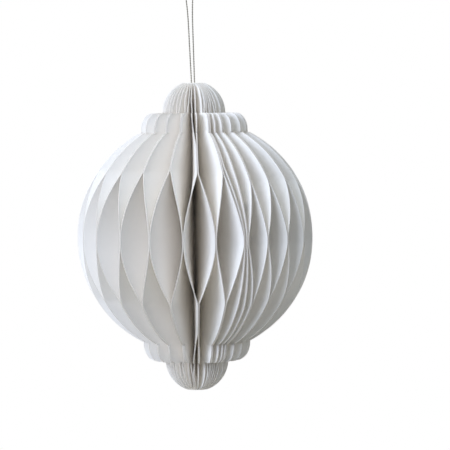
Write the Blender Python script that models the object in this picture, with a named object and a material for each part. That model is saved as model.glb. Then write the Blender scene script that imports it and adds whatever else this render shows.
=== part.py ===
"""Hanging honeycomb ball of stiff white paper, with a stepped, domed end above and below.

The ornament is a stack of equal paper leaves, each cut to half of the outline and bound along
its straight edge. The stack is opened all the way round like a fan, so the bound edges stand in
a small ring and the two end covers meet at a seam. Here each leaf is a flat plate at its mean
place, and folds back to the middle leaf of the stack about its own upright line.

Metres, +Z up. The origin is where the thread loop bears on whatever it hangs from. Azimuths are
in degrees about the spine: 0 faces -Y, the front, and they grow towards +X.
"""

import math

import bpy
import bmesh
from mathutils import Matrix, Vector

# Outline of the opened ornament, from its equator to the tip of either end
BALL_RADIUS = 0.0576
BALL_HALF_HEIGHT = 0.0508
TIER_RADIUS = 0.0262
TIER_HEIGHT = 0.0096
TIER_CORNER_WIDTH = 0.0056
TIER_CORNER_HEIGHT = 0.0084
DOME_RADIUS = 0.0154
DOME_HEIGHT = 0.0156
BALL_STEPS = 14
CORNER_STEPS = 4
DOME_STEPS = 5

# Paper and binding
LEAF_COUNT = 48
PAPER_THICKNESS = 0.0004
COVER_THICKNESS = 0.0005
SPINE_RADIUS = 0.00535
CLEARANCE = 0.0003
FOLDED_PITCH = 0.00048
STRIP_THICKNESS = 0.0003
STRIP_HEIGHT = 0.136
STRIP_SLIT = 8.0
STRIP_STEPS = 32

# Where neighbouring leaves are glued in pairs at the equator, as azimuths round the spine
FIRST_PAIR = 25.4
GAPS_AFTER_SEAM = (11.0, 13.2, 15.0)
GAPS_BEFORE_SEAM = (15.1, 16.6, 16.0, 16.3, 15.3, 14.0)
LAST_PAIR = 383.5
COVER_FRONT_AZIMUTH = 24.7
COVER_BACK_AZIMUTH = 382.1
SPINE_SEAM_AZIMUTH = 22.0
FIXED_LEAF = LEAF_COUNT // 2

# Magnets behind the two covers
MAGNET_RADIUS = 0.0025
MAGNET_THICKNESS = 0.0005
MAGNET_REACH = 0.0500
MAGNET_HEIGHT = 0.0150
MAGNET_GLUE = 0.0002

# Hanging thread and its knot
THREAD_RADIUS = 0.00035
LOOP_RADIUS = 0.0022
LOOP_RISE = 0.0482
LOOP_LEAN = 0.00165
THREAD_SPACING = 0.0018
KNOT_RADIUS = 0.0014
KNOT_DEPTH = 0.0140

# The ornament's top, centre and axis below the bearing point of the loop
ORNAMENT_TOP = THREAD_RADIUS - LOOP_RISE
HALF_HEIGHT = 0.0750
CENTRE = Vector((LOOP_LEAN, 0.0, ORNAMENT_TOP - HALF_HEIGHT))

COLLECTION_NAME = "honeycomb_ball_ornament"


def clear_scene():
    for obj in list(bpy.data.objects):
        bpy.data.objects.remove(obj, do_unlink=True)


def new_collection(name):
    collection = bpy.data.collections.new(name)
    bpy.context.scene.collection.children.link(collection)
    return collection


def principled(name, colour, roughness, metallic=0.0):
    """A material with one Principled BSDF."""
    material = bpy.data.materials.new(name)
    material.use_nodes = True
    material.diffuse_color = (*colour, 1.0)
    shader = material.node_tree.nodes["Principled BSDF"]
    shader.inputs["Base Color"].default_value = (*colour, 1.0)
    shader.inputs["Roughness"].default_value = roughness
    shader.inputs["Metallic"].default_value = metallic
    return material


def add_object(collection, name, data, material):
    obj = bpy.data.objects.new(name, data)
    if not data.materials:
        data.materials.append(material)
    collection.objects.link(obj)
    return obj


# The leaves' places, seen from above


def outward(azimuth):
    angle = math.radians(azimuth)
    return Vector((math.sin(angle), -math.cos(angle)))


def pair_azimuths():
    """Azimuths of the glue lines on the equator, from the seam round to the seam."""
    right = [FIRST_PAIR]
    for gap in GAPS_AFTER_SEAM:
        right.append(right[-1] + gap)
    left = [LAST_PAIR]
    for gap in reversed(GAPS_BEFORE_SEAM):
        left.insert(0, left[0] - gap)
    spare = LEAF_COUNT // 2 - len(right) - len(left)
    step = (left[0] - right[-1]) / (spare + 1)
    round_the_back = [right[-1] + step * (k + 1) for k in range(spare)]
    return right + round_the_back + left


def leaf_azimuth(index):
    """A leaf's mean azimuth: half way from its own pair's glue line to its other neighbour's."""
    if index == 0:
        return COVER_FRONT_AZIMUTH
    if index == LEAF_COUNT - 1:
        return COVER_BACK_AZIMUTH
    pairs = pair_azimuths()
    own = pairs[index // 2]
    other = pairs[index // 2 + (1 if index % 2 else -1)]
    return own + (other - own) / 4


def spine_point(index):
    """Where a leaf's bound edge stands in the opened ring."""
    pitch = 360.0 / LEAF_COUNT
    return SPINE_RADIUS * outward(SPINE_SEAM_AZIMUTH + (index + 0.5) * pitch)


def open_place(index):
    """The bound edge, and the direction from it to the leaf's outer edge."""
    edge = spine_point(index)
    tip = BALL_RADIUS * outward(leaf_azimuth(index))
    return edge, (tip - edge).normalized()


def folded_offset(index):
    """How far from the middle leaf this one lies once the stack is folded flat."""
    steps = index - FIXED_LEAF
    offset = steps * FOLDED_PITCH
    if index in (0, LEAF_COUNT - 1):
        spare = (COVER_THICKNESS - PAPER_THICKNESS) / 2 + MAGNET_THICKNESS + MAGNET_GLUE
        offset += math.copysign(spare, steps)
    return offset


def fold_motion(index):
    """The upright line about which a leaf folds, and its turn in radians to lie on the stack."""
    edge, along = open_place(index)
    fixed_edge, fixed_along = open_place(FIXED_LEAF)
    across = Vector((-fixed_along.y, fixed_along.x))
    target = fixed_edge + across * folded_offset(index)
    turn = math.radians(leaf_azimuth(FIXED_LEAF) - leaf_azimuth(index))
    turn += wrapped(heading(fixed_along) - heading(along) - turn)
    middle = (edge + target) / 2
    span = target - edge
    pivot = middle + Vector((-span.y, span.x)) / (2 * math.tan(turn / 2))
    return pivot, turn


def heading(direction):
    return math.atan2(direction.y, direction.x)


def wrapped(angle):
    return (angle + math.pi) % (2 * math.pi) - math.pi


# Outlines


def arc(centre, radii, start, end, steps):
    """Points on a quarter or part of an ellipse, from one angle in degrees to another."""
    points = []
    for k in range(steps + 1):
        angle = math.radians(start + (end - start) * k / steps)
        points.append((centre[0] + radii[0] * math.cos(angle),
                       centre[1] + radii[1] * math.sin(angle)))
    return points


def upper_outline():
    """The outline from the ball's cut up to the tip, as radius and height."""
    tier_top = BALL_HALF_HEIGHT + TIER_HEIGHT
    corner_radii = (TIER_CORNER_WIDTH, TIER_CORNER_HEIGHT)
    corner_centre = (TIER_RADIUS - TIER_CORNER_WIDTH, tier_top - TIER_CORNER_HEIGHT)
    dome_end = math.degrees(math.acos(SPINE_RADIUS / DOME_RADIUS))
    points = [(TIER_RADIUS, BALL_HALF_HEIGHT)]
    points += arc(corner_centre, corner_radii, 0.0, 90.0, CORNER_STEPS)
    points += arc((0.0, tier_top), (DOME_RADIUS, DOME_HEIGHT), 0.0, dome_end, DOME_STEPS)
    return points


def leaf_outline():
    """A leaf's outline: distance out from its bound edge, and height from the equator."""
    cut = math.degrees(math.asin(BALL_HALF_HEIGHT / BALL_RADIUS))
    ball = arc((0.0, 0.0), (BALL_RADIUS, BALL_RADIUS), -cut, cut, BALL_STEPS)
    top = upper_outline()
    bottom = [(radius, -height) for radius, height in reversed(top)]
    return [(radius - SPINE_RADIUS, height) for radius, height in bottom + ball + top]


def flat_curve(name, outline, thickness):
    """A flat outline cut from sheet."""
    curve = bpy.data.curves.new(name, "CURVE")
    curve.dimensions = "2D"
    curve.fill_mode = "BOTH"
    curve.extrude = thickness / 2
    spline = curve.splines.new("POLY")
    spline.points.add(len(outline) - 1)
    for point, (x, y) in zip(spline.points, outline):
        point.co = (x, y, 0.0, 1.0)
    spline.use_cyclic_u = True
    return curve


# The pieces


def leaf_name(index):
    if index == 0:
        return "cover_front"
    if index == LEAF_COUNT - 1:
        return "cover_back"
    return f"leaf_{index:02d}"


def make_leaves(collection, paper, card):
    """The stack of leaves, opened all round. Returns each leaf's object and its fold axis."""
    outline = leaf_outline()
    inner = flat_curve("inner_leaf", outline, PAPER_THICKNESS)
    cover = flat_curve("cover_leaf", outline, COVER_THICKNESS)
    made = {}
    for index in range(LEAF_COUNT):
        is_cover = index in (0, LEAF_COUNT - 1)
        name = leaf_name(index)
        data = cover if is_cover else inner
        leaf = add_object(collection, name, data, card if is_cover else paper)
        edge, along = open_place(index)
        leaf.rotation_euler = (math.radians(90.0), 0.0, heading(along))
        leaf.location = CENTRE + edge.to_3d()
        if index != FIXED_LEAF:
            pivot, _ = fold_motion(index)
            axis = bpy.data.objects.new(f"{name}_fold_axis", None)
            axis.empty_display_size = 0.01
            axis.location = CENTRE + pivot.to_3d()
            collection.objects.link(axis)
            leaf.parent = axis
            leaf.location -= axis.location
        made[index] = leaf
    return made


def make_magnet(collection, name, cover, side, steel):
    """A thin disc glued behind a cover, near its outer edge, just above the equator."""
    mesh = bpy.data.meshes.new(name)
    shape = bmesh.new()
    bmesh.ops.create_cone(shape, cap_ends=True, segments=24, radius1=MAGNET_RADIUS,
                          radius2=MAGNET_RADIUS, depth=MAGNET_THICKNESS)
    shape.to_mesh(mesh)
    shape.free()
    mesh.shade_smooth()
    mesh.set_sharp_from_angle(angle=math.radians(40.0))
    magnet = add_object(collection, name, mesh, steel)
    reach = MAGNET_REACH - SPINE_RADIUS
    lift = side * (COVER_THICKNESS / 2 + MAGNET_GLUE + MAGNET_THICKNESS / 2)
    magnet.parent = cover.parent
    magnet.rotation_euler = cover.rotation_euler
    place = cover.rotation_euler.to_matrix() @ Vector((reach, MAGNET_HEIGHT, lift))
    magnet.location = cover.location + place
    return magnet


def make_spine_strip(collection, paper):
    """The strip round which the bound edges stand: a ring seen from above, slit at the seam."""
    outer = SPINE_RADIUS - CLEARANCE
    inner = outer - STRIP_THICKNESS
    start = SPINE_SEAM_AZIMUTH - 90.0 + STRIP_SLIT
    end = SPINE_SEAM_AZIMUTH + 270.0 - STRIP_SLIT
    outline = arc((0.0, 0.0), (outer, outer), start, end, STRIP_STEPS)
    outline += arc((0.0, 0.0), (inner, inner), end, start, STRIP_STEPS)
    curve = flat_curve("spine_strip", outline, STRIP_HEIGHT)
    strip = add_object(collection, "spine_strip", curve, paper)
    strip.location = CENTRE
    return strip


def thread_route():
    """Hand-chosen points of the doubled thread: up from the knot, round the loop and down."""
    top = ORNAMENT_TOP
    loop_centre = -LOOP_RADIUS + THREAD_RADIUS
    knot_top = top - KNOT_DEPTH + KNOT_RADIUS + CLEARANCE + THREAD_RADIUS
    left = [(LOOP_LEAN - 0.00062, knot_top), (LOOP_LEAN - 0.00085, top - 0.0050),
            (LOOP_LEAN - 0.0010, top), (LOOP_LEAN - 0.0017, top + 0.0176),
            (LOOP_LEAN - 0.0023, top + 0.0320), (LOOP_LEAN - 0.0031, top + 0.0410)]
    right = [(LOOP_LEAN + 0.00062, knot_top), (LOOP_LEAN + 0.00065, top - 0.0050),
             (LOOP_LEAN + 0.0005, top), (LOOP_LEAN + 0.00015, top + 0.0176),
             (LOOP_LEAN - 0.0001, top + 0.0320), (LOOP_LEAN + 0.0001, top + 0.0410)]
    loop = arc((0.0, loop_centre), (LOOP_RADIUS, LOOP_RADIUS), 160.0, 20.0, 6)
    route = left + loop + list(reversed(right))
    return [Vector((x, 0.0, z)) for x, z in route]


def smooth_path(route, samples=24):
    """Catmull-Rom curve through the route."""
    points = [2 * route[0] - route[1], *route, 2 * route[-1] - route[-2]]
    path = []
    for a, b, c, d in zip(points, points[1:], points[2:], points[3:]):
        for k in range(samples):
            t = k / samples
            path.append(0.5 * (2 * b + (c - a) * t + (2 * a - 5 * b + 4 * c - d) * t * t
                               + (3 * b - a - 3 * c + d) * t ** 3))
    path.append(route[-1])
    return path


def evenly_spaced(path, spacing):
    """Points at equal steps along a fine path, with both of its ends."""
    lengths = [0.0]
    for a, b in zip(path, path[1:]):
        lengths.append(lengths[-1] + (b - a).length)
    count = round(lengths[-1] / spacing)
    spaced, k = [], 0
    for n in range(count + 1):
        at = lengths[-1] * n / count
        while k < len(lengths) - 2 and lengths[k + 1] < at:
            k += 1
        share = (at - lengths[k]) / (lengths[k + 1] - lengths[k])
        spaced.append(path[k].lerp(path[k + 1], min(share, 1.0)))
    return spaced


def make_thread(collection, metallic_thread):
    """The doubled hanging thread, as one plain tube."""
    points = evenly_spaced(smooth_path(thread_route()), THREAD_SPACING)
    curve = bpy.data.curves.new("hanging_thread", "CURVE")
    curve.dimensions = "3D"
    curve.bevel_depth = THREAD_RADIUS
    curve.bevel_resolution = 2
    curve.use_fill_caps = True
    spline = curve.splines.new("POLY")
    spline.points.add(len(points) - 1)
    for point, place in zip(spline.points, points):
        point.co = (*place, 1.0)
    return add_object(collection, "hanging_thread", curve, metallic_thread)


def make_knot(collection, metallic_thread):
    """The knot that ties the thread's two ends inside the spine."""
    mesh = bpy.data.meshes.new("thread_knot")
    shape = bmesh.new()
    bmesh.ops.create_uvsphere(shape, u_segments=16, v_segments=10, radius=KNOT_RADIUS)
    shape.to_mesh(mesh)
    shape.free()
    mesh.shade_smooth()
    knot = add_object(collection, "thread_knot", mesh, metallic_thread)
    knot.location = (CENTRE.x, CENTRE.y, ORNAMENT_TOP - KNOT_DEPTH)
    return knot


def main():
    clear_scene()
    collection = new_collection(COLLECTION_NAME)
    paper = principled("white_paper", (0.80, 0.80, 0.82), 0.85)
    card = principled("white_cover_card", (0.82, 0.82, 0.84), 0.80)
    steel = principled("nickel_plate", (0.62, 0.61, 0.58), 0.25, 1.0)
    metallic_thread = principled("grey_gold_thread", (0.42, 0.38, 0.30), 0.38, 0.8)

    leaves = make_leaves(collection, paper, card)
    make_magnet(collection, "magnet_front", leaves[0], -1.0, steel)
    make_magnet(collection, "magnet_back", leaves[LEAF_COUNT - 1], 1.0, steel)
    make_spine_strip(collection, paper)
    make_thread(collection, metallic_thread)
    make_knot(collection, metallic_thread)


main()
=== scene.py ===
"""Looks of a hanging honeycomb ball of stiff white paper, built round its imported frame.

Metres, +Z up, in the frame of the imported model. The origin is where the thread loop bears on
whatever it hangs from. Azimuths are in degrees about the spine: 0 faces -Y, the front, and they
grow towards +X. Each of the 48 leaves is first laid out flat, and a node tree then bends it into
the place that its glue lines hold it in when the stack is opened all the way round.
"""

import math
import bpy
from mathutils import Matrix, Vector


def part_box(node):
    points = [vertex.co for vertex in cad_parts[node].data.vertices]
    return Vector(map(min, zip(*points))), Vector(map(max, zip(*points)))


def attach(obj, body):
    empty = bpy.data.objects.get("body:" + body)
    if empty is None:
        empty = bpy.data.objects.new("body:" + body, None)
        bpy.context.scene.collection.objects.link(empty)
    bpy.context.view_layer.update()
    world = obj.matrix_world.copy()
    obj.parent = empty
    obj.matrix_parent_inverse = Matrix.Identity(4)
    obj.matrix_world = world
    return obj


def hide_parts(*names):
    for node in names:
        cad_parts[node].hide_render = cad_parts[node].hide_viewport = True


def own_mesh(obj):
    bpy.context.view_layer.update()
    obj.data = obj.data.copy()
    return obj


bl_info = {
    "name": "Honeycomb Ball Ornament",
    "version": (1, 0, 0),
    "blender": (4, 5, 0),
    "location": "View3D > Sidebar > Honeycomb Ball",
    "description": "Builds the leaves, thread and stage of a hanging paper honeycomb ball",
    "category": "Object",
}

import bmesh
import bpy
import numpy as np
from bpy.props import FloatProperty, FloatVectorProperty, IntProperty, PointerProperty
from bpy.types import Operator, Panel, PropertyGroup
from mathutils import Matrix, Vector

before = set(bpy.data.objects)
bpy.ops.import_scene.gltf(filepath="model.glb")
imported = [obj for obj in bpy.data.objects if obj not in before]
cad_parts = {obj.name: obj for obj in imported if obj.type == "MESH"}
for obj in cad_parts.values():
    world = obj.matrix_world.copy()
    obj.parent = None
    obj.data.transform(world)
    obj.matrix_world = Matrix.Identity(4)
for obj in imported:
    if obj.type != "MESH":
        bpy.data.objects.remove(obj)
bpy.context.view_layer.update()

# Outline of a leaf, from the equator to the tip of either end
BALL_RADIUS = 0.0576
BALL_HALF_HEIGHT = 0.0508
TIER_RADIUS = 0.0262
TIER_HEIGHT = 0.0096
TIER_CORNER_WIDTH = 0.0056
TIER_CORNER_HEIGHT = 0.0084
DOME_RADIUS = 0.0154
DOME_HEIGHT = 0.0156
TIER_TOP = BALL_HALF_HEIGHT + TIER_HEIGHT
SPINE_RADIUS = 0.00535

# The stack
LEAF_COUNT = 48
FIXED_LEAF = LEAF_COUNT // 2
BOUND_PITCH = 360.0 / LEAF_COUNT
SPINE_SEAM_AZIMUTH = 22.0

# Azimuths of the glue lines on the equator, each between leaves 2k and 2k + 1
FIRST_PAIR = 25.4
GAPS_AFTER_SEAM = (11.0, 13.2, 15.0)
GAPS_BEFORE_SEAM = (15.1, 16.6, 16.0, 16.3, 15.3, 14.0)
LAST_PAIR = 383.5
COVER_FRONT_AZIMUTH = 25.2
COVER_BACK_AZIMUTH = 383.4

# Glue patches above and below the equator that aren't half way between two of those lines,
# each between leaves 2k + 1 and 2k + 2: azimuth and height, by k
UPPER_PATCHES = {
    0: (31.4, 0.0271), 1: (43.9, 0.0274), 2: (59.9, 0.0287), 3: (76.0, 0.0275),
    19: (329.3, 0.0325), 20: (345.7, 0.0334), 21: (361.7, 0.0319), 22: (376.2, 0.0319),
}
LOWER_PATCHES = {
    0: (32.5, -0.0302), 1: (43.8, -0.0285), 19: (328.7, -0.0296), 20: (345.6, -0.0296),
    21: (361.2, -0.0293), 22: (376.3, -0.0296),
}
UPPER_PATCH_HEIGHT = 0.0320
LOWER_PATCH_HEIGHT = -0.0295
COVER_UPPER_PLACES = {0: (22.6, 0.0348), LEAF_COUNT - 1: (378.0, 0.0348)}
COVER_LOWER_PLACES = {0: (28.0, -0.0320), LEAF_COUNT - 1: (384.3, -0.0320)}

# How sharply the leaves turn between glue lines, where they were pulled straighter by the seam
EDGE_POWERS = {0: 1.3, **dict.fromkeys(range(1, 9), 1.05), 45: 1.3, 46: 1.12, 47: 1.3}

# Azimuths at the upper tips, where they aren't TIP_GAPE degrees from the equator's
TIP_GAPE = 3.0
TIP_AZIMUTHS = {
    43: 353.5, 44: 364.6, 45: 374.6, 46: 383.0, 47: 384.6, 0: 26.0, 1: 28.0, 2: 35.0,
    3: 37.4, 4: 46.9, 5: 57.4, 6: 64.0, 7: 71.5,
}
LOWER_TIP_AZIMUTHS = {43: 351.2, 44: 364.0}

# Where a leaf leaves its patch neighbour for the tip, how evenly it does so, and how soon it
# turns out from the spine. The two leaves in the middle of the front gape wider than the rest
SPLIT_HEIGHT = 0.0585
SPLIT_HEIGHTS = {43: 0.0450, 44: 0.0450}
END_POWERS = {43: 0.75, 44: 0.75}
REACH_POWERS = {43: 0.2, 44: 0.2}

# Mesh of a flat leaf: its columns crowd towards the spine, and its rows on the bound edge keep
# these margins from the foot and head of the tier and of the dome
COLUMN_POWER = 1.15
TIER_BOUND_MARGINS = (0.0004, 0.0008)
DOME_BOUND_MARGINS = (0.0006, 0.0130)
TIER_CORNER_STEPS = 7
DOME_STEPS = 8
DOME_LAST_ROW = 46
TIP_FIRST_ANGLE = 51
LEAF_SHARP_ANGLE = 50.0

# Hanging thread
ORNAMENT_TOP = -0.04785
THREAD_RADIUS = 0.00035
LOOP_RADIUS = 0.0022
LOOP_LEAN = 0.00165
KNOT_RADIUS = 0.0014
KNOT_DEPTH = 0.0140
KNOT_STEPS = 96
KNOT_BULGE = 1.15
KNOT_STRAND = 1.7
PLY_SIDES = 8
PLY_STEPS_PER_TURN = 12
PLY_OFFSET = 0.86
CLEARANCE = 0.0003

# Spine strip, open by its slit to either side of the seam
STRIP_THICKNESS = 0.0003
STRIP_HEIGHT = 0.136
STRIP_SLIT = 8.0
STRIP_STEPS = 64
STRIP_ROWS = 24

# Camera: its turn from facing the middle of the ball, in degrees to the right and up, and its roll
CAMERA_ASIDE = 0.74795
CAMERA_ALOFT = 0.27703
CAMERA_ROLL = 0.71
SENSOR_WIDTH = 36.0

# Lights and floor
KEY_AZIMUTH = -37.0
KEY_ELEVATION = 17.0
KEY_SIZE = (1.2, 0.8)
KEY_COLOUR = "#dee9ff"
LIGHT_DISTANCE = 1.6
SKY_COLOUR = "#e9f4ff"
SKY_RISE = (0.3, 0.8)
SKY_LEVELS = (0.2, 1.1)
SKY_BACK = (-0.3, 0.7)
SKY_BACK_LEVELS = (0.0, 0.7)
FLOOR_COLOUR = "#efe8dc"
FLOOR_DROP = 1.8
FLOOR_RADIUS = 1.6


def linear(hex_colour):
    """The linear value of an sRGB hex colour."""
    levels = (int(hex_colour[k:k + 2], 16) / 255 for k in (1, 3, 5))
    return tuple(c / 12.92 if c <= 0.04045 else ((c + 0.055) / 1.055) ** 2.4 for c in levels)


def box_middle(node):
    low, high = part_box(node)
    return (low + high) / 2


CENTRE = box_middle("spine_strip")


# Settings


class PaperSettings(PropertyGroup):
    leaf_thickness: FloatProperty(
        name="Leaf thickness", description="Thickness of one inner leaf",
        default=0.0004, min=0.0001, precision=5, unit="LENGTH")
    cover_thickness: FloatProperty(
        name="Cover thickness", description="Thickness of the two end covers",
        default=0.0005, min=0.0001, precision=5, unit="LENGTH")
    columns: IntProperty(
        name="Columns", description="Steps from the bound edge to the cut edge",
        default=14, min=4, max=40)
    row_height: FloatProperty(
        name="Row height", description="Height of one row of faces on the ball",
        default=0.0012, min=0.0004, precision=5, unit="LENGTH")
    glue_gap: FloatProperty(
        name="Glue gap", description="Between the middles of two glued leaves",
        default=0.00052, min=0.0, precision=5, unit="LENGTH")
    edge_power: FloatProperty(
        name="Edge power", description="How sharp a leaf turns at its upper and lower glue",
        default=1.6, min=1.0, max=4.0)
    reach_power: FloatProperty(
        name="Reach power", description="How soon a leaf turns to its place out from the spine",
        default=0.33, min=0.05, max=2.0)
    face_colour: FloatVectorProperty(
        name="Face colour", description="The coated face of the paper", subtype="COLOR",
        size=3, min=0.0, max=1.0, default=linear("#f9f5ef"))
    edge_colour: FloatVectorProperty(
        name="Edge colour", description="The bare core at a cut edge", subtype="COLOR",
        size=3, min=0.0, max=1.0, default=linear("#dad1c5"))


class ThreadSettings(PropertyGroup):
    ply_radius: FloatProperty(
        name="Ply radius", description="Radius of each of the two plies",
        default=0.00019, min=0.00005, precision=5, unit="LENGTH")
    turn_length: FloatProperty(
        name="Turn length", description="Length of one full turn of the plies",
        default=0.0024, min=0.0005, precision=4, unit="LENGTH")
    colour: FloatVectorProperty(
        name="Colour", description="The metallised film", subtype="COLOR",
        size=3, min=0.0, max=1.0, default=linear("#b3aa9b"))


class StageSettings(PropertyGroup):
    distance: FloatProperty(
        name="Camera distance", description="From the camera to the middle of the ball",
        default=1.115, min=0.3, unit="LENGTH")
    elevation: FloatProperty(
        name="Elevation", description="Of the camera above the middle of the ball",
        default=math.radians(3.0), subtype="ANGLE")
    lens: FloatProperty(
        name="Lens", description="Focal length in millimetres", default=182.0, min=20.0)
    key_power: FloatProperty(
        name="Key light", description="Power of the wide soft box on the left in watts",
        default=25.3, min=0.0)
    sky_strength: FloatProperty(
        name="Sky", description="Strength of the even light from above", default=0.95, min=0.0)
    leaf_bounces: IntProperty(
        name="Bounces", description="How often light goes on from leaf to leaf in the cells",
        default=10, min=4, max=32)


# Materials


def add_node(tree, kind, inputs=None, **settings):
    """Adds a node with its settings, and its inputs' values or links."""
    node = tree.nodes.new(kind)
    node.location = (200 * (len(tree.nodes) % 12), -260 * (len(tree.nodes) // 12))
    for key, value in settings.items():
        setattr(node, key, value)
    for socket, value in (inputs or {}).items():
        if isinstance(value, bpy.types.NodeSocket):
            tree.links.new(value, node.inputs[socket])
        else:
            node.inputs[socket].default_value = value
    return node


def new_material(name, roughness, metallic=0.0, ior=1.5):
    """A material with one Principled shader. Returns it, its tree and the shader."""
    material = bpy.data.materials.new(name)
    material.use_nodes = True
    tree = material.node_tree
    shader = tree.nodes["Principled BSDF"]
    shader.inputs["Roughness"].default_value = roughness
    shader.inputs["Metallic"].default_value = metallic
    shader.inputs["IOR"].default_value = ior
    return material, tree, shader


def paper_material(name, face, edge, roughness):
    """Stiff die-cut paper with a matt clay coating: nearly white, a little warm where light has
    been from leaf to leaf, a faint cloudiness from its fibres and a bare, duller cut edge."""
    material, tree, shader = new_material(name, roughness, ior=1.5)
    place = add_node(tree, "ShaderNodeUVMap", uv_map="flat_paper")
    # Fibre clouds are about 3 mm across, and the map is in metres
    clouds = add_node(tree, "ShaderNodeTexNoise", {
        "Vector": place.outputs["UV"], "Scale": 330.0, "Detail": 3.0, "Roughness": 0.55})
    tone = add_node(tree, "ShaderNodeMix", {
        "Factor": clouds.outputs["Fac"],
        "A": (*(0.965 * c for c in face), 1.0), "B": (*face, 1.0)}, data_type="RGBA")
    mark = add_node(tree, "ShaderNodeAttribute", attribute_name="cut_edge")
    colour = add_node(tree, "ShaderNodeMix", {
        "Factor": mark.outputs["Fac"], "A": tone.outputs["Result"],
        "B": (*edge, 1.0)}, data_type="RGBA")
    # The tooth of the coating is near 0.1 mm: drawn at 0.7 mm, so that it can show
    tooth = add_node(tree, "ShaderNodeTexNoise", {
        "Vector": place.outputs["UV"], "Scale": 1400.0, "Detail": 2.0})
    relief = add_node(tree, "ShaderNodeBump", {
        "Height": tooth.outputs["Fac"], "Strength": 0.12, "Distance": 0.0001})
    tree.links.new(colour.outputs["Result"], shader.inputs["Base Color"])
    tree.links.new(relief.outputs["Normal"], shader.inputs["Normal"])
    return material


def thread_material(colour):
    """Metallised film wound on thread: soft metal glints that change from turn to turn."""
    material, tree, shader = new_material("metallised_thread", 0.42, metallic=0.75)
    place = add_node(tree, "ShaderNodeTexCoord")
    # Each wrap of film is about 0.5 mm wide
    glint = add_node(tree, "ShaderNodeTexNoise", {
        "Vector": place.outputs["Object"], "Scale": 2000.0, "Detail": 1.0})
    tone = add_node(tree, "ShaderNodeMix", {
        "Factor": glint.outputs["Fac"], "A": (*(0.6 * c for c in colour), 1.0),
        "B": (*(min(1.0, 1.25 * c) for c in colour), 1.0)}, data_type="RGBA")
    tree.links.new(tone.outputs["Result"], shader.inputs["Base Color"])
    return material


def magnet_material():
    """Nickel plating on a sintered magnet: bright, with fine tumbling marks."""
    material, tree, shader = new_material("nickel_plating", 0.3, metallic=1.0)
    place = add_node(tree, "ShaderNodeTexCoord")
    marks = add_node(tree, "ShaderNodeTexNoise", {
        "Vector": place.outputs["Object"], "Scale": 1500.0, "Detail": 3.0})
    dull = add_node(tree, "ShaderNodeMapRange", {
        "Value": marks.outputs["Fac"], "To Min": 0.22, "To Max": 0.42})
    shader.inputs["Base Color"].default_value = (*linear("#c9c4ba"), 1.0)
    tree.links.new(dull.outputs["Result"], shader.inputs["Roughness"])
    return material


# Shapes


def outward(azimuth):
    angle = math.radians(azimuth)
    return Vector((math.sin(angle), -math.cos(angle), 0.0))


def arc(centre, radii, start, end, steps):
    """Points on part of an ellipse, from one angle in degrees to another."""
    angles = (math.radians(start + (end - start) * k / steps) for k in range(steps + 1))
    return [(centre[0] + radii[0] * math.cos(a), centre[1] + radii[1] * math.sin(a))
            for a in angles]


def even(low, high, count):
    return [low + (high - low) * k / (count - 1) for k in range(count)]


def end_rows():
    """Rows of the upper end, from the ball's cut to the tip: height at the bound edge, radius
    and height at the cut edge."""
    corner_centre = (TIER_RADIUS - TIER_CORNER_WIDTH, TIER_TOP - TIER_CORNER_HEIGHT)
    corner_radii = (TIER_CORNER_WIDTH, TIER_CORNER_HEIGHT)
    tier = [(TIER_RADIUS, BALL_HALF_HEIGHT)] + arc(
        corner_centre, corner_radii, 0, 90, TIER_CORNER_STEPS)
    dome = arc((0.0, TIER_TOP), (DOME_RADIUS, DOME_HEIGHT), 0, DOME_LAST_ROW, DOME_STEPS)
    foot, head = TIER_BOUND_MARGINS
    inner = even(BALL_HALF_HEIGHT + foot, TIER_TOP - head, len(tier))
    foot, head = DOME_BOUND_MARGINS
    inner += even(TIER_TOP + foot, TIER_TOP + head, len(dome))
    return [(low, *cut) for low, cut in zip(inner, tier + dome)]


def leaf_grid(columns, row_height):
    """Places on a flat leaf, row by row upwards: radius, height and share of the way out."""
    shares = [(k / columns) ** COLUMN_POWER for k in range(columns + 1)]
    count = round(2 * BALL_HALF_HEIGHT / row_height)
    heights = even(-BALL_HALF_HEIGHT, BALL_HALF_HEIGHT, count)
    ball = [(h, math.sqrt(BALL_RADIUS ** 2 - h ** 2), h) for h in heights]
    top = end_rows()
    rows = [(-a, r, -b) for a, r, b in reversed(top)] + ball + top
    grid = [[(SPINE_RADIUS + (radius - SPINE_RADIUS) * s, inner + (outer - inner) * s, s)
             for s in shares] for inner, radius, outer in rows]
    tip = math.degrees(math.acos(SPINE_RADIUS / DOME_RADIUS))
    last = arc((0.0, TIER_TOP), (DOME_RADIUS, DOME_HEIGHT), tip, TIP_FIRST_ANGLE,
               columns)
    grid.append([(r, z, s) for (r, z), s in zip(last, shares)])
    grid.insert(0, [(r, -z, s) for (r, z), s in zip(last, shares)])
    return np.array(grid)


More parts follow.
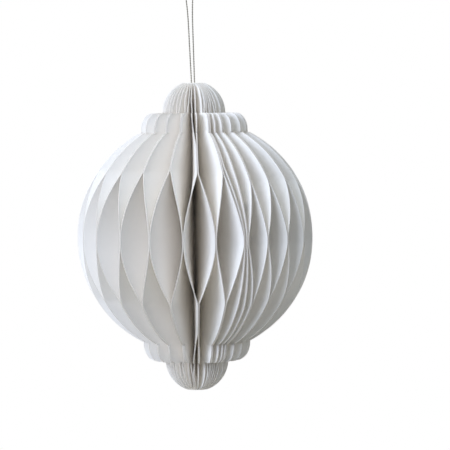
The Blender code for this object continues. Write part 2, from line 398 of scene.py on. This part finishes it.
def flat_leaf(name, thickness, columns, row_height):
    """A flat leaf as a closed sheet: X is the distance from the spine's axis, Y the side and Z
    the height. Its map, in metres, its share of the way out and its cut edges go with it."""
    grid = leaf_grid(columns, row_height)
    rows, across = grid.shape[:2]
    number = np.arange(rows * across).reshape(rows, across)
    shift = rows * across
    places = grid.reshape(-1, 3)
    points = [(r, side * thickness / 2, z) for side in (1, -1) for r, z, _ in places]
    faces, cut = [], []
    for i in range(rows - 1):
        for j in range(across - 1):
            a, b, c, d = number[i, j], number[i, j + 1], number[i + 1, j + 1], number[i + 1, j]
            faces += [(a, d, c, b), (a + shift, b + shift, c + shift, d + shift)]
            cut += [0.0, 0.0]
    walls = [(number[i, -1], number[i + 1, -1], 1.0) for i in range(rows - 1)]
    walls += [(number[i + 1, 0], number[i, 0], 0.0) for i in range(rows - 1)]
    walls += [(number[0, j], number[0, j + 1], 1.0) for j in range(across - 1)]
    walls += [(number[-1, j + 1], number[-1, j], 1.0) for j in range(across - 1)]
    for a, b, mark in walls:
        faces.append((a, b, b + shift, a + shift))
        cut.append(mark)
    mesh = bpy.data.meshes.new(name)
    mesh.from_pydata(points, [], [tuple(int(v) for v in face) for face in faces])
    share = mesh.attributes.new("reach", "FLOAT", "POINT")
    share.data.foreach_set("value", np.tile(places[:, 2], 2).astype(np.float32))
    mark = mesh.attributes.new("cut_edge", "FLOAT", "FACE")
    mark.data.foreach_set("value", np.array(cut, np.float32))
    uv = mesh.uv_layers.new(name="flat_paper")
    corners = np.empty(len(mesh.loops), np.int32)
    mesh.loops.foreach_get("vertex_index", corners)
    flat = np.tile(places[:, :2], (2, 1))[corners]
    uv.data.foreach_set("uv", flat.astype(np.float32).ravel())
    mesh.shade_smooth()
    mesh.set_sharp_from_angle(angle=math.radians(LEAF_SHARP_ANGLE))
    return mesh


OPEN_LEAF_INPUTS = {
    "Bound Azimuth": 0.0, "Equator Azimuth": 0.0, "Upper Azimuth": 0.0, "Lower Azimuth": 0.0,
    "Upper Height": 0.033, "Lower Height": 0.032, "Side": 1.0, "Upper Tip Azimuth": 0.0,
    "Lower Tip Azimuth": 0.0, "Glue Gap": 0.0005, "Edge Power": 1.6,
    "Reach Power": 0.33, "Contact": 0.002, "Split Height": 0.0585, "End Height": 0.066,
    "End Power": 1.0,
}


def open_leaf_tree():
    """The rule that bends a flat leaf into its place in the opened stack.

    At the equator a leaf is glued to one neighbour, in patches above and below it to the other,
    and near the ends to the first again. Its azimuth goes from one to the other with height, and
    from its bound place at the spine to that azimuth on the way out."""
    tree = bpy.data.node_groups.new("open_leaf", "GeometryNodeTree")
    sockets = tree.interface
    sockets.new_socket("Geometry", in_out="INPUT", socket_type="NodeSocketGeometry")
    for name, value in OPEN_LEAF_INPUTS.items():
        socket = sockets.new_socket(name, in_out="INPUT", socket_type="NodeSocketFloat")
        socket.default_value = value
    sockets.new_socket("Centre", in_out="INPUT", socket_type="NodeSocketVector")
    sockets.new_socket("Material", in_out="INPUT", socket_type="NodeSocketMaterial")
    sockets.new_socket("Geometry", in_out="OUTPUT", socket_type="NodeSocketGeometry")
    given = add_node(tree, "NodeGroupInput").outputs

    def maths(operation, *values):
        inputs = dict(enumerate(values))
        return add_node(tree, "ShaderNodeMath", inputs, operation=operation).outputs[0]

    def share_of(value, low, high):
        return add_node(tree, "ShaderNodeMapRange", {
            "Value": value, "From Min": low, "From Max": high}).outputs["Result"]

    def mixed(factor, a, b):
        return add_node(tree, "ShaderNodeMix", {
            "Factor": factor, "A": a, "B": b}).outputs["Result"]

    flat = add_node(tree, "ShaderNodeSeparateXYZ", {
        0: add_node(tree, "GeometryNodeInputPosition").outputs[0]}).outputs
    radius, aside, height = flat["X"], flat["Y"], flat["Z"]
    level = maths("ABSOLUTE", height)
    above = maths("GREATER_THAN", height, 0.0)
    patch_azimuth = mixed(above, given["Lower Azimuth"], given["Upper Azimuth"])
    patch_height = mixed(above, given["Lower Height"], given["Upper Height"])

    # 0 where the leaf is with its equator neighbour, 1 where it is with the other
    to_patch = maths("POWER", share_of(level, given["Contact"], patch_height),
                     given["Edge Power"])
    left_to_end = share_of(level, given["End Height"], given["Split Height"])
    to_end = maths("SUBTRACT", 1.0, maths("POWER", left_to_end, given["End Power"]))
    swap = maths("MULTIPLY", to_patch, maths("SUBTRACT", 1.0, to_end))

    rim = mixed(to_patch, given["Equator Azimuth"], patch_azimuth)
    tip_azimuth = mixed(above, given["Lower Tip Azimuth"], given["Upper Tip Azimuth"])
    rim = mixed(to_end, rim, tip_azimuth)
    way_out = maths("POWER", add_node(tree, "GeometryNodeInputNamedAttribute", {
        "Name": "reach"}, data_type="FLOAT").outputs["Attribute"], given["Reach Power"])
    azimuth = maths("RADIANS", mixed(way_out, given["Bound Azimuth"], rim))
    lean = maths("MULTIPLY", given["Side"], maths("SUBTRACT", 1.0, maths("MULTIPLY", 2.0, swap)))
    shift = maths("MULTIPLY", maths("MULTIPLY", lean, way_out), given["Glue Gap"])
    aside = maths("ADD", aside, maths("MULTIPLY", shift, 0.5))

    sine, cosine = maths("SINE", azimuth), maths("COSINE", azimuth)
    x = maths("ADD", maths("MULTIPLY", radius, sine), maths("MULTIPLY", aside, cosine))
    y = maths("SUBTRACT", maths("MULTIPLY", aside, sine), maths("MULTIPLY", radius, cosine))
    place = add_node(tree, "ShaderNodeCombineXYZ", {"X": x, "Y": y, "Z": height})
    moved = add_node(tree, "ShaderNodeVectorMath", {
        0: place.outputs[0], 1: given["Centre"]}, operation="ADD")
    bent = add_node(tree, "GeometryNodeSetPosition", {
        "Geometry": given["Geometry"], "Position": moved.outputs[0]})
    real = add_node(tree, "GeometryNodeRealizeInstances", {"Geometry": bent.outputs[0]})
    finished = add_node(tree, "GeometryNodeSetMaterial", {
        "Geometry": real.outputs[0], "Material": given["Material"]})
    add_node(tree, "NodeGroupOutput", {"Geometry": finished.outputs[0]})
    return tree


def baked(name, mesh, tree, values):
    """A plain mesh object of what the tree makes of a mesh with these inputs."""
    source = bpy.data.objects.new(name + "_flat", mesh)
    bpy.context.scene.collection.objects.link(source)
    modifier = source.modifiers.new("open", "NODES")
    modifier.node_group = tree
    for item in tree.interface.items_tree:
        if item.in_out == "INPUT" and item.name in values:
            modifier[item.identifier] = values[item.name]
    depsgraph = bpy.context.evaluated_depsgraph_get()
    made = bpy.data.meshes.new_from_object(source.evaluated_get(depsgraph))
    made.name = name
    bpy.data.objects.remove(source)
    piece = bpy.data.objects.new(name, made)
    bpy.context.scene.collection.objects.link(piece)
    return piece


def mesh_piece(name, points, faces, material, sharp_angle=40.0):
    """An object at the origin with this mesh, facing outwards."""
    mesh = bpy.data.meshes.new(name)
    mesh.from_pydata([tuple(p) for p in points], [], faces)
    shape = bmesh.new()
    shape.from_mesh(mesh)
    bmesh.ops.recalc_face_normals(shape, faces=shape.faces)
    shape.to_mesh(mesh)
    shape.free()
    mesh.shade_smooth()
    mesh.set_sharp_from_angle(angle=math.radians(sharp_angle))
    mesh.materials.append(material)
    piece = bpy.data.objects.new(name, mesh)
    bpy.context.scene.collection.objects.link(piece)
    return piece


# The leaves' places


def pair_azimuths():
    """Azimuths of the glue lines on the equator, from the seam round to the seam."""
    right = [FIRST_PAIR]
    for gap in GAPS_AFTER_SEAM:
        right.append(right[-1] + gap)
    left = [LAST_PAIR]
    for gap in reversed(GAPS_BEFORE_SEAM):
        left.insert(0, left[0] - gap)
    spare = LEAF_COUNT // 2 - len(right) - len(left)
    step = (left[0] - right[-1]) / (spare + 1)
    return right + [right[-1] + step * (k + 1) for k in range(spare)] + left


def patch(index, given, cover_places, height):
    """Azimuth and height of a leaf's glue patch above or below the equator."""
    if index in cover_places:
        return cover_places[index]
    k = (index - 1) // 2
    pairs = pair_azimuths()
    return given.get(k, ((pairs[k] + pairs[k + 1]) / 2, height))


def leaf_values(index):
    """The inputs of the open-leaf tree that place one leaf."""
    equator = pair_azimuths()[index // 2]
    if index == 0:
        equator = COVER_FRONT_AZIMUTH
    if index == LEAF_COUNT - 1:
        equator = COVER_BACK_AZIMUTH
    side = 1.0 if index % 2 else -1.0
    upper = patch(index, UPPER_PATCHES, COVER_UPPER_PLACES, UPPER_PATCH_HEIGHT)
    lower = patch(index, LOWER_PATCHES, COVER_LOWER_PLACES, LOWER_PATCH_HEIGHT)
    tip = TIP_AZIMUTHS.get(index, equator + side * TIP_GAPE)
    return {
        "Bound Azimuth": SPINE_SEAM_AZIMUTH + (index + 0.5) * BOUND_PITCH,
        "Equator Azimuth": equator,
        "Upper Azimuth": upper[0], "Upper Height": upper[1],
        "Lower Azimuth": lower[0], "Lower Height": -lower[1],
        "Side": side,
        "Upper Tip Azimuth": tip,
        "Lower Tip Azimuth": LOWER_TIP_AZIMUTHS.get(index, tip),
        "Split Height": SPLIT_HEIGHTS.get(index, SPLIT_HEIGHT),
        "End Power": END_POWERS.get(index, 1.0),
        "Centre": CENTRE,
    }


def leaf_name(index):
    if index == 0:
        return "cover_front"
    if index == LEAF_COUNT - 1:
        return "cover_back"
    return f"leaf_{index:02d}"


def plate_normal(node):
    """The normal of the CAD plate of a leaf, the thin direction of its solid, and its middle."""
    points = np.array([v.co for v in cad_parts[node].data.vertices], float)
    spread = np.cov((points - points.mean(0)).T)
    return Vector(np.linalg.eigh(spread)[1][:, 0]), Vector(points.mean(0))


def make_leaf(index, flat, tree, paper, material):
    """Bends one leaf open and puts it in the place of its CAD plate."""
    node = leaf_name(index)
    values = leaf_values(index)
    values["Material"] = material
    values["Glue Gap"] = paper.glue_gap
    values["Edge Power"] = EDGE_POWERS.get(index, paper.edge_power)
    values["Reach Power"] = REACH_POWERS.get(index, paper.reach_power)
    piece = baked("paper_" + node, flat, tree, values)
    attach(piece, "root" if index == FIXED_LEAF else node + "_fold")
    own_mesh(piece)
    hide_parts(node)


# Thread


def thread_route():
    """Points of the doubled thread: up from the knot, round the loop and down again."""
    top = ORNAMENT_TOP
    loop_centre = -LOOP_RADIUS + THREAD_RADIUS
    knot_top = top - KNOT_DEPTH + KNOT_RADIUS + CLEARANCE + THREAD_RADIUS
    left = [(LOOP_LEAN - 0.00062, knot_top), (LOOP_LEAN - 0.00085, top - 0.0050),
            (LOOP_LEAN - 0.0010, top), (LOOP_LEAN - 0.0017, top + 0.0176),
            (LOOP_LEAN - 0.0023, top + 0.0320), (LOOP_LEAN - 0.0031, top + 0.0410)]
    right = [(LOOP_LEAN + 0.00062, knot_top), (LOOP_LEAN + 0.00065, top - 0.0050),
             (LOOP_LEAN + 0.0005, top), (LOOP_LEAN + 0.00015, top + 0.0176),
             (LOOP_LEAN - 0.0001, top + 0.0320), (LOOP_LEAN + 0.0001, top + 0.0410)]
    loop = arc((0.0, loop_centre), (LOOP_RADIUS, LOOP_RADIUS), 160.0, 20.0, 6)
    return [Vector((x, 0.0, z)) for x, z in left + loop + right[::-1]]


def smooth_path(route, samples=24):
    """Catmull-Rom curve through the route."""
    points = [2 * route[0] - route[1], *route, 2 * route[-1] - route[-2]]
    path = []
    for a, b, c, d in zip(points, points[1:], points[2:], points[3:]):
        for k in range(samples):
            t = k / samples
            path.append(0.5 * (2 * b + (c - a) * t + (2 * a - 5 * b + 4 * c - d) * t * t
                               + (3 * b - a - 3 * c + d) * t ** 3))
    path.append(route[-1])
    return path


def evenly_spaced(path, spacing):
    """Points at equal steps along a fine path, with both of its ends, and its length."""
    fine = np.array(path)
    lengths = np.concatenate(([0.0], np.cumsum(np.linalg.norm(np.diff(fine, axis=0), axis=1))))
    at = np.linspace(0.0, lengths[-1], round(lengths[-1] / spacing) + 1)
    return np.stack([np.interp(at, lengths, fine[:, k]) for k in range(3)], 1), lengths[-1]


def ply(centres, sides, radius, turn, turn_length, length):
    """Points and faces of one ply that winds round a line in the plane Y = 0."""
    count = len(centres)
    along = np.gradient(centres, axis=0)
    along /= np.linalg.norm(along, axis=1)[:, None]
    across = np.array([0.0, 1.0, 0.0])
    normal = np.cross(along, across)
    phase = turn + 2 * math.pi * np.linspace(0.0, length, count) / turn_length
    round_the_path = np.cos(phase)[:, None] * normal + np.sin(phase)[:, None] * across
    line = centres + PLY_OFFSET * radius * round_the_path
    points = []
    for k in range(sides):
        angle = 2 * math.pi * k / sides
        ring = math.cos(angle) * normal + math.sin(angle) * across
        points.append(line + radius * ring)
    points = np.stack(points, 1).reshape(-1, 3)
    faces = [(i * sides + k, i * sides + (k + 1) % sides,
              (i + 1) * sides + (k + 1) % sides, (i + 1) * sides + k)
             for i in range(count - 1) for k in range(sides)]
    faces += [tuple(range(sides)), tuple(range((count - 1) * sides, count * sides))[::-1]]
    return points, faces


def twisted(name, path, settings, material):
    """Two plies laid round a path."""
    centres, length = evenly_spaced(path, settings.turn_length / PLY_STEPS_PER_TURN)
    points, faces = [], []
    for turn in (0.0, math.pi):
        more, walls = ply(centres, PLY_SIDES, settings.ply_radius, turn, settings.turn_length,
                          length)
        start = sum(len(p) for p in points)
        faces += [tuple(v + start for v in wall) for wall in walls]
        points.append(more)
    return mesh_piece(name, np.concatenate(points), faces, material, sharp_angle=60.0)


# Operators


class HONEYCOMB_OT_stage(Operator):
    """Adds the camera, the lights, the pale world and the floor"""

    bl_idname = "honeycomb.stage"
    bl_label = "Stage"

    def execute(self, context):
        scene = context.scene
        stage = scene.honeycomb_stage
        scene.view_settings.view_transform = "Standard"
        scene.cycles.diffuse_bounces = stage.leaf_bounces
        self.add_camera(scene, stage)
        self.add_key(scene, stage)
        self.add_world(scene, stage)
        self.add_floor(scene)
        return {"FINISHED"}

    def add_camera(self, scene, stage):
        camera = bpy.data.cameras.new("camera")
        camera.lens = stage.lens
        camera.sensor_width = SENSOR_WIDTH
        camera.clip_start, camera.clip_end = 0.05, 20.0
        obj = bpy.data.objects.new("camera", camera)
        scene.collection.objects.link(obj)
        aside, aloft = math.radians(CAMERA_ASIDE), math.radians(CAMERA_ALOFT)
        back = Vector((0.0, -math.cos(stage.elevation), math.sin(stage.elevation)))
        turn = (Matrix.Rotation(-aside, 4, "Z")
                @ Matrix.Rotation(math.pi / 2 - stage.elevation + aloft, 4, "X")
                @ Matrix.Rotation(-math.radians(CAMERA_ROLL), 4, "Z"))
        obj.matrix_world = Matrix.Translation(CENTRE + stage.distance * back) @ turn
        scene.camera = obj

    def add_key(self, scene, stage):
        """A wide soft box that faces the ball from in front and to the left."""
        light = bpy.data.lights.new("key_light", "AREA")
        light.shape = "RECTANGLE"
        light.size, light.size_y = KEY_SIZE
        light.energy = stage.key_power
        light.color = linear(KEY_COLOUR)
        obj = bpy.data.objects.new("key_light", light)
        scene.collection.objects.link(obj)
        rise = math.radians(KEY_ELEVATION)
        towards = outward(KEY_AZIMUTH) * math.cos(rise) + Vector((0.0, 0.0, math.sin(rise)))
        obj.location = CENTRE + LIGHT_DISTANCE * towards
        obj.rotation_euler = towards.to_track_quat("Z", "Y").to_euler()

    def add_world(self, scene, stage):
        """A sky that is brightest overhead and dimmest in front, and plain white where it is
        seen."""
        world = bpy.data.worlds.new("pale_studio")
        world.use_nodes = True
        scene.world = world
        tree = world.node_tree
        tree.nodes.clear()
        way = add_node(tree, "ShaderNodeSeparateXYZ", {
            0: add_node(tree, "ShaderNodeTexCoord").outputs["Generated"]})
        above = add_node(tree, "ShaderNodeMapRange", {
            "Value": way.outputs["Z"], "From Min": SKY_RISE[0], "From Max": SKY_RISE[1],
            "To Min": SKY_LEVELS[0], "To Max": SKY_LEVELS[1]})
        behind = add_node(tree, "ShaderNodeMapRange", {
            "Value": way.outputs["Y"], "From Min": SKY_BACK[0], "From Max": SKY_BACK[1],
            "To Min": SKY_BACK_LEVELS[0], "To Max": SKY_BACK_LEVELS[1]})
        both = add_node(tree, "ShaderNodeMath", {
            0: above.outputs["Result"], 1: behind.outputs["Result"]}, operation="ADD")
        strength = add_node(tree, "ShaderNodeMath", {
            0: both.outputs[0], 1: stage.sky_strength}, operation="MULTIPLY")
        sky = add_node(tree, "ShaderNodeBackground", {
            "Color": (*linear(SKY_COLOUR), 1.0), "Strength": strength.outputs[0]})
        plain = add_node(tree, "ShaderNodeBackground", {
            "Color": (1.0, 1.0, 1.0, 1.0), "Strength": 1.0})
        seen = add_node(tree, "ShaderNodeLightPath")
        chosen = add_node(tree, "ShaderNodeMixShader", {
            0: seen.outputs["Is Camera Ray"], 1: sky.outputs[0], 2: plain.outputs[0]})
        add_node(tree, "ShaderNodeOutputWorld", {"Surface": chosen.outputs[0]})

    def add_floor(self, scene):
        """A pale disc well below the ball, out of the camera's view."""
        material, _, shader = new_material("pale_floor", 0.9)
        shader.inputs["Base Color"].default_value = (*linear(FLOOR_COLOUR), 1.0)
        mesh = bpy.data.meshes.new("floor")
        shape = bmesh.new()
        bmesh.ops.create_circle(shape, cap_ends=True, segments=96, radius=FLOOR_RADIUS)
        shape.to_mesh(mesh)
        shape.free()
        mesh.transform(Matrix.Translation((CENTRE.x, CENTRE.y, CENTRE.z - FLOOR_DROP)))
        mesh.materials.append(material)
        floor = bpy.data.objects.new("floor", mesh)
        scene.collection.objects.link(floor)


class HONEYCOMB_OT_thread(Operator):
    """Adds the doubled hanging thread and its knot"""

    bl_idname = "honeycomb.thread"
    bl_label = "Hanging thread"

    def execute(self, context):
        settings = context.scene.honeycomb_thread
        material = thread_material(settings.colour)
        path = smooth_path(thread_route())
        thread = twisted("thread_loop", path, settings, material)
        knot = self.make_knot(settings, material)
        for piece, node in ((thread, "hanging_thread"), (knot, "thread_knot")):
            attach(piece, "root")
            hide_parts(node)
        return {"FINISHED"}

    def make_knot(self, settings, material):
        """An overhand knot of the doubled ends, drawn up tight."""
        size = (KNOT_RADIUS - settings.ply_radius * 2) / 3.0
        middle = box_middle("thread_knot")
        points = []
        for k in range(KNOT_STEPS):
            t = 2 * math.pi * k / KNOT_STEPS
            points.append(Vector((math.sin(t) + 2 * math.sin(2 * t),
                                  -KNOT_BULGE * math.sin(3 * t),
                                  math.cos(t) - 2 * math.cos(2 * t))) * size + middle)
        curve = bpy.data.curves.new("knot_line", "CURVE")
        curve.dimensions = "3D"
        curve.bevel_depth = settings.ply_radius * KNOT_STRAND
        curve.bevel_resolution = 3
        spline = curve.splines.new("POLY")
        spline.points.add(KNOT_STEPS - 1)
        for point, place in zip(spline.points, points):
            point.co = (*place, 1.0)
        spline.use_cyclic_u = True
        line = bpy.data.objects.new("knot_line", curve)
        bpy.context.scene.collection.objects.link(line)
        mesh = bpy.data.meshes.new_from_object(
            line.evaluated_get(bpy.context.evaluated_depsgraph_get()))
        bpy.data.objects.remove(line)
        return mesh_piece("tied_knot", [v.co for v in mesh.vertices],
                          [tuple(p.vertices) for p in mesh.polygons], material)


class HONEYCOMB_OT_leaves(Operator):
    """Adds the 46 inner leaves, bent open between their glue lines"""

    bl_idname = "honeycomb.leaves"
    bl_label = "Inner leaves"

    def execute(self, context):
        paper = context.scene.honeycomb_paper
        material = paper_material("matt_coated_paper", paper.face_colour, paper.edge_colour, 0.72)
        flat = flat_leaf("flat_leaf", paper.leaf_thickness, paper.columns, paper.row_height)
        tree = open_leaf_tree()
        for index in range(1, LEAF_COUNT - 1):
            make_leaf(index, flat, tree, paper, material)
        return {"FINISHED"}


class HONEYCOMB_OT_covers(Operator):
    """Adds the two end covers that meet at the seam"""

    bl_idname = "honeycomb.covers"
    bl_label = "End covers"

    def execute(self, context):
        paper = context.scene.honeycomb_paper
        material = paper_material("smooth_cover_card", paper.face_colour, paper.edge_colour, 0.62)
        flat = flat_leaf("flat_cover", paper.cover_thickness, paper.columns, paper.row_height)
        tree = bpy.data.node_groups.get("open_leaf") or open_leaf_tree()
        for index in (0, LEAF_COUNT - 1):
            make_leaf(index, flat, tree, paper, material)
        return {"FINISHED"}


class HONEYCOMB_OT_spine(Operator):
    """Adds the strip that the bound edges stand round"""

    bl_idname = "honeycomb.spine"
    bl_label = "Spine strip"

    def execute(self, context):
        paper = context.scene.honeycomb_paper
        material = paper_material("spine_paper", paper.face_colour, paper.edge_colour, 0.8)
        outer = SPINE_RADIUS - CLEARANCE
        inner = outer - STRIP_THICKNESS
        azimuths = even(SPINE_SEAM_AZIMUTH + STRIP_SLIT,
                        SPINE_SEAM_AZIMUTH + 360.0 - STRIP_SLIT, STRIP_STEPS + 1)
        ring = [outer * outward(a) for a in azimuths]
        ring += [inner * outward(a) for a in reversed(azimuths)]
        heights = even(-STRIP_HEIGHT / 2, STRIP_HEIGHT / 2, STRIP_ROWS + 1)
        points = [CENTRE + p + Vector((0.0, 0.0, h)) for h in heights for p in ring]
        around = len(ring)
        faces = [(i * around + k, i * around + (k + 1) % around,
                  (i + 1) * around + (k + 1) % around, (i + 1) * around + k)
                 for i in range(STRIP_ROWS) for k in range(around)]
        for row in (0, STRIP_ROWS):
            start = row * around
            faces += [(start + k, start + k + 1, start + around - 2 - k, start + around - 1 - k)
                      for k in range(STRIP_STEPS)]
        strip = mesh_piece("paper_spine_strip", points, faces, material)
        # The map is in metres, and one step round the strip is about a tenth of its radius
        uv = strip.data.uv_layers.new(name="flat_paper")
        for loop in strip.data.loops:
            k = loop.vertex_index % around
            uv.data[loop.index].uv = (min(k, around - 1 - k) * outer * 0.1,
                                      points[loop.vertex_index].z)
        normal, middle = plate_normal(leaf_name(FIXED_LEAF))
        along = Vector((-normal.y, normal.x, 0.0)).normalized()
        if along.dot(middle - CENTRE) < 0:
            along = -along
        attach(strip, "root")
        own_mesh(strip)
        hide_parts("spine_strip")
        return {"FINISHED"}


class HONEYCOMB_OT_magnets(Operator):
    """Finishes the two disc magnets behind the covers"""

    bl_idname = "honeycomb.magnets"
    bl_label = "Magnets"

    def execute(self, context):
        material = magnet_material()
        for name in ("magnet_front", "magnet_back"):
            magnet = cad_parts[name]
            magnet.data.materials.clear()
            magnet.data.materials.append(material)
        return {"FINISHED"}


class HONEYCOMB_PT_panel(Panel):
    """Lists the ornament's settings and the operators that build it"""

    bl_idname = "HONEYCOMB_PT_panel"
    bl_label = "Honeycomb Ball"
    bl_space_type = "VIEW_3D"
    bl_region_type = "UI"
    bl_category = "Honeycomb Ball"

    def draw(self, context):
        for settings in SETTINGS:
            box = self.layout.box()
            group = getattr(context.scene, settings)
            for name in group.bl_rna.properties.keys():
                if name not in ("name", "rna_type"):
                    box.prop(group, name)
        for operator in OPERATORS:
            self.layout.operator(operator.bl_idname)


SETTINGS = {
    "honeycomb_paper": PaperSettings,
    "honeycomb_thread": ThreadSettings,
    "honeycomb_stage": StageSettings,
}
OPERATORS = (
    HONEYCOMB_OT_stage,
    HONEYCOMB_OT_thread,
    HONEYCOMB_OT_leaves,
    HONEYCOMB_OT_covers,
    HONEYCOMB_OT_spine,
    HONEYCOMB_OT_magnets,
)


def register():
    for settings in SETTINGS.values():
        bpy.utils.register_class(settings)
    for name, settings in SETTINGS.items():
        setattr(bpy.types.Scene, name, PointerProperty(type=settings))
    for operator in OPERATORS:
        bpy.utils.register_class(operator)
    bpy.utils.register_class(HONEYCOMB_PT_panel)


def unregister():
    bpy.utils.unregister_class(HONEYCOMB_PT_panel)
    for operator in reversed(OPERATORS):
        bpy.utils.unregister_class(operator)
    for name, settings in SETTINGS.items():
        delattr(bpy.types.Scene, name)
        bpy.utils.unregister_class(settings)


def main():
    register()
    bpy.ops.honeycomb.stage()
    bpy.ops.honeycomb.thread()
    bpy.ops.honeycomb.leaves()
    bpy.ops.honeycomb.covers()
    bpy.ops.honeycomb.spine()
    bpy.ops.honeycomb.magnets()


if __name__ == "__main__":
    main()
